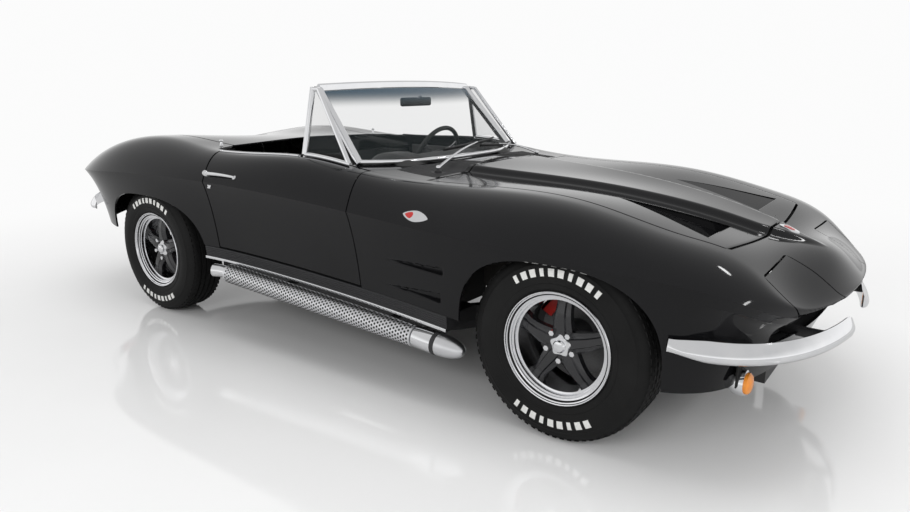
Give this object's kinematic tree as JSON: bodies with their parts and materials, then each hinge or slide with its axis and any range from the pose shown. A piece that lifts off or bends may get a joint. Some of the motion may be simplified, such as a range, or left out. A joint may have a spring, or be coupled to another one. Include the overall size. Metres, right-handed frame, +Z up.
{
  "type": "convertible sports car",
  "caption": "Open two-seat sports car with crowned wings, bright split bumpers, side exhausts, turning lamp pods, opening doors, hood and top lid, and steered front wheels.",
  "frame": {"origin": "on the ground, under the middle of the car's overall box", "axes": "+X towards the car's nose, +Y to the car's left, +Z up"},
  "size_m": [4.4497, 1.7688, 1.255],
  "materials": {
    "body_paint": "deep gloss black",
    "chassis_black": "satin black",
    "tub_black": "matt moulded black",
    "rocker_black": "satin ribbed black",
    "bright_trim": "polished",
    "clear_glass": "clear, tinted at the top edge",
    "seat_hide": "satin black hide",
    "cabin_plastic": "soft grained black",
    "amber_lens": "moulded amber",
    "red_lens": "moulded red",
    "engine_iron": "rough cast",
    "wheel_metal": "black spokes and polished lip",
    "tyre_rubber": "satin black"
  },
  "bodies": {
    "body": {"frame": "chassis_black", "floor_tub": "tub_black", "rockers": "rocker_black", "nose_panel": "body_paint", "fenders": "body_paint", "cowl": "body_paint", "screen_frame": "bright_trim", "screen_glass": "clear_glass", "quarters": "body_paint", "tail_panel": "body_paint", "seats": "seat_hide", "dashboard": "cabin_plastic", "steering_column": "cabin_plastic", "console": "cabin_plastic", "cabin_mirror": "bright_trim", "wipers": "bright_trim", "front_bumpers": "bright_trim", "grille": "tub_black", "turn_lamps": "amber_lens", "rear_bumpers": "bright_trim", "tail_lamps": "red_lens", "side_pipes": "bright_trim", "engine": "engine_iron", "driveline": "engine_iron", "suspension_arms": "chassis_black"},
    "hood": {"hood": "body_paint"},
    "deck_lid": {"deck_lid": "body_paint"},
    "door_left": {"door_left": "body_paint", "vent_frame_left": "bright_trim", "vent_glass_left": "clear_glass"},
    "door_right": {"door_right": "body_paint", "vent_frame_right": "bright_trim", "vent_glass_right": "clear_glass"},
    "headlamp_left": {"headlamp_left": "body_paint"},
    "headlamp_right": {"headlamp_right": "body_paint"},
    "steering_wheel": {"steering_wheel": "cabin_plastic"},
    "knuckle_left": {"knuckle_left": "chassis_black"},
    "knuckle_right": {"knuckle_right": "chassis_black"},
    "road_wheel_front_left": {"wheel_front_left": "wheel_metal", "tyre_front_left": "tyre_rubber"},
    "road_wheel_front_right": {"wheel_front_right": "wheel_metal", "tyre_front_right": "tyre_rubber"},
    "road_wheel_rear_left": {"wheel_rear_left": "wheel_metal", "tyre_rear_left": "tyre_rubber"},
    "road_wheel_rear_right": {"wheel_rear_right": "wheel_metal", "tyre_rear_right": "tyre_rubber"}
  },
  "joints": [
    {"name": "steer_left", "type": "hinge", "parent": "body", "child": "knuckle_left", "pos_m": [1.39, 0.54, 0.347], "axis": [0, 0, 1], "range_deg": [-26, 26]},
    {"name": "steer_right", "type": "hinge", "parent": "body", "child": "knuckle_right", "pos_m": [1.39, -0.54, 0.347], "axis": [0, 0, 1], "range_deg": [-26, 26]},
    {"name": "steering_wheel_turn", "type": "hinge", "parent": "body", "child": "steering_wheel", "pos_m": [-0.02997, 0.3525, 0.82], "axis": [-0.9397, 0, 0.342], "range_deg": [-445, 445]},
    {"name": "wheel_front_left_spin", "type": "hinge", "parent": "knuckle_left", "child": "road_wheel_front_left", "pos_m": [1.39, 0.71, 0.347], "axis": [0, 1, 0], "continuous": true},
    {"name": "wheel_front_right_spin", "type": "hinge", "parent": "knuckle_right", "child": "road_wheel_front_right", "pos_m": [1.39, -0.71, 0.347], "axis": [0, 1, 0], "continuous": true},
    {"name": "wheel_rear_left_spin", "type": "hinge", "parent": "body", "child": "road_wheel_rear_left", "pos_m": [-1.099, 0.71, 0.347], "axis": [0, 1, 0], "continuous": true},
    {"name": "wheel_rear_right_spin", "type": "hinge", "parent": "body", "child": "road_wheel_rear_right", "pos_m": [-1.099, -0.71, 0.347], "axis": [0, 1, 0], "continuous": true},
    {"name": "door_left_hinge", "type": "hinge", "parent": "body", "child": "door_left", "pos_m": [0.3499, 0.81097, 0.69], "axis": [0, 0, -1], "range_deg": [0, 65]},
    {"name": "door_right_hinge", "type": "hinge", "parent": "body", "child": "door_right", "pos_m": [0.3499, -0.81097, 0.69], "axis": [0, 0, 1], "range_deg": [0, 65]},
    {"name": "hood_hinge", "type": "hinge", "parent": "body", "child": "hood", "pos_m": [1.99012, 0, 0.62625], "axis": [0, 1, 0], "range_deg": [0, 50]},
    {"name": "deck_lid_hinge", "type": "hinge", "parent": "body", "child": "deck_lid", "pos_m": [-1.41993, 0, 0.8453], "axis": [0, -1, 0], "range_deg": [0, 60]},
    {"name": "headlamp_left_turn", "type": "hinge", "parent": "body", "child": "headlamp_left", "pos_m": [2.08994, 0.41999, 0.57049], "axis": [0, -1, 0], "range_deg": [0, 105]},
    {"name": "headlamp_right_turn", "type": "hinge", "parent": "body", "child": "headlamp_right", "pos_m": [2.08994, -0.41999, 0.57049], "axis": [0, -1, 0], "range_deg": [0, 105]}
  ],
  "couplings": [
    {"joint": "steer_right", "follows": "steer_left", "ratio": 1},
    {"joint": "steering_wheel_turn", "follows": "steer_left", "ratio": 17}
  ]
}
